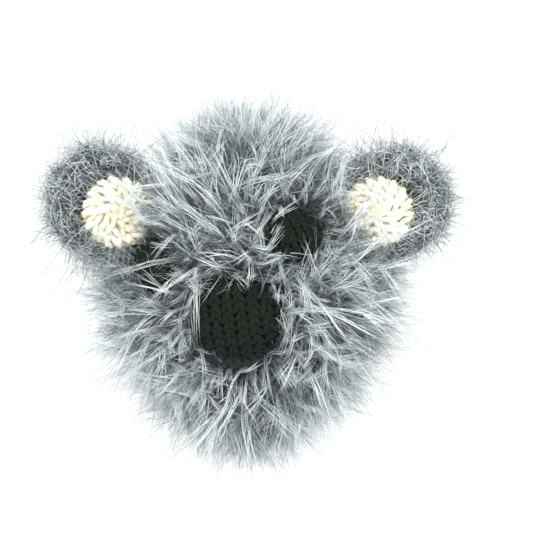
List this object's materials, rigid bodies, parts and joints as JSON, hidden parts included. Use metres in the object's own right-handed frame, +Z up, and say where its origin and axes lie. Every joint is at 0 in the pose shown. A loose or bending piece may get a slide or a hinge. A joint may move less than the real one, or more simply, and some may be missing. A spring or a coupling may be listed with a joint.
{
  "type": "sock puppet",
  "caption": "Hand puppet in long-lashed grey knitting: a koala head with padded nose, cupped ears and an opening mouth on a knitted sleeve with a ribbed cuff.",
  "frame": {"origin": "middle of the cuff's open end, where the hand goes in and holds the puppet", "axes": "+Y out of the cuff, back along the wearer's arm; the face looks along -Y; +Z up; +X to the right of someone who faces the puppet"},
  "size_m": [0.2042, 0.335, 0.176],
  "materials": {
    "lash_knit": "eyelash yarn: long silver-grey fibres over a grey knitted ground",
    "rib_knit": "ribbed charcoal wool knit",
    "black_wool": "black stocking stitch with a faint green tone",
    "cream_wool": "off-white crochet, matt",
    "felt": "charcoal wool felt, matt",
    "card": "plain grey-brown board, matt",
    "wadding": "white polyester fibre, matt",
    "lining": "thin charcoal cotton"
  },
  "bodies": {
    "sleeve": {"sleeve_knit": "lash_knit", "cuff_rib": "rib_knit"},
    "neck": {"neck_knit": "lash_knit"},
    "head": {"head_knit": "lash_knit", "head_stuffing": "wadding", "finger_pocket": "lining", "upper_mouth_board": "card", "upper_mouth_felt": "felt", "nose_cover": "black_wool", "nose_stuffing": "wadding", "nose_seam_thread": "black_wool", "left_eye": "black_wool", "right_eye": "black_wool", "left_eye_seam_thread": "black_wool", "right_eye_seam_thread": "black_wool"},
    "jaw": {"jaw_knit": "lash_knit", "lower_mouth_board": "card", "lower_mouth_felt": "felt", "thumb_pocket": "lining", "mouth_hinge_fold": "felt"},
    "left_ear": {"left_ear_back": "lash_knit", "left_ear_front": "lash_knit", "left_ear_wadding": "wadding", "left_ear_inner": "cream_wool"},
    "right_ear": {"right_ear_back": "lash_knit", "right_ear_front": "lash_knit", "right_ear_wadding": "wadding", "right_ear_inner": "cream_wool"}
  },
  "joints": [
    {"name": "head_turn", "type": "hinge", "parent": "sleeve", "child": "neck", "pos_m": [0, -0.12, 0], "axis": [0, 0, 1], "range_deg": [-25, 25]},
    {"name": "head_nod", "type": "hinge", "parent": "neck", "child": "head", "pos_m": [0, -0.16, 0], "axis": [1, 0, 0], "range_deg": [-20, 20]},
    {"name": "mouth_open", "type": "hinge", "parent": "head", "child": "jaw", "pos_m": [0, -0.235, -0.006], "axis": [1, 0, 0], "range_deg": [0, 35]},
    {"name": "left_ear_flop", "type": "hinge", "parent": "head", "child": "left_ear", "pos_m": [-0.05542, -0.277, 0.06947], "axis": [0.4695, 0, 0.8829], "range_deg": [-20, 30]},
    {"name": "right_ear_flop", "type": "hinge", "parent": "head", "child": "right_ear", "pos_m": [0.05542, -0.277, 0.06947], "axis": [0.4695, 0, -0.8829], "range_deg": [-20, 30]}
  ]
}
